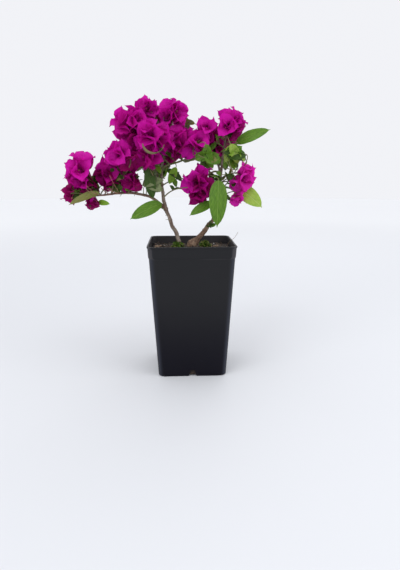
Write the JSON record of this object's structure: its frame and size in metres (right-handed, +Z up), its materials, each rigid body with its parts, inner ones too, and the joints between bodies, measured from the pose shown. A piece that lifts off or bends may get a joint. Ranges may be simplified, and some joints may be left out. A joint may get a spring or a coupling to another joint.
{
  "type": "potted bougainvillea bush",
  "caption": "Bougainvillea bush with two bare stems, arching boughs, magenta bract heads and green leaves, growing in a tall square black nursery pot.",
  "frame": {"origin": "centre of the pot's flat underside", "axes": "+Z up, +X to the right seen from the front of the bush, -Y towards the front"},
  "size_m": [0.3269, 0.1788, 0.44],
  "materials": {
    "pot": "black moulded plastic, slightly satin",
    "soil": "moist bark-based potting mix with pale grains",
    "bark": "grey-brown bark, ridged",
    "bracts": "papery magenta bracts",
    "leaves": "green leaves, slightly glossy"
  },
  "bodies": {
    "root": {"pot": "pot", "potting_mix": "soil", "trunk": "bark", "left_stem": "bark", "right_stem": "bark", "arching_bough": "bark", "arching_bough_end": "bark", "upright_bough": "bark", "cross_bough": "bark", "right_bough": "bark", "low_left_bough": "bark", "low_right_bough": "bark", "rear_left_bough": "bark", "rear_right_bough": "bark", "leaf_bough": "bark", "bracts_left_end": "bracts", "bracts_left_inner": "bracts", "bracts_left_tip": "bracts", "bracts_left_hanging": "bracts", "bracts_centre_left": "bracts", "bracts_centre_shoulder": "bracts", "bracts_centre_heart": "bracts", "bracts_centre_peak": "bracts", "bracts_centre_foot": "bracts", "bracts_under_left": "bracts", "bracts_top_right": "bracts", "bracts_centre_right": "bracts", "bracts_bridge_low": "bracts", "bracts_bridge_high": "bracts", "bracts_right_peak": "bracts", "bracts_lower_left": "bracts", "bracts_lower_right": "bracts", "bracts_lower_right_tip": "bracts", "bracts_rear_far_left": "bracts", "bracts_rear_left": "bracts", "bracts_rear_right": "bracts", "bracts_rear_middle": "bracts", "bracts_rear_high": "bracts", "bracts_back_left": "bracts", "bracts_back_right": "bracts", "leaf_low_left": "leaves", "leaves_centre": "leaves", "leaves_centre_right": "leaves", "leaf_cross": "leaves", "leaves_bridge": "leaves", "leaves_right": "leaves", "leaf_far_right": "leaves", "leaf_big": "leaves", "leaf_behind_big": "leaves", "leaf_low_right": "leaves", "leaf_inner": "leaves", "leaves_stem": "leaves", "leaf_top": "leaves", "leaf_left_end": "leaves", "leaves_rear_left": "leaves", "leaves_rear_right": "leaves", "leaves_back": "leaves", "shoots_left": "leaves", "shoots_right": "leaves"}
  },
  "joints": []
}
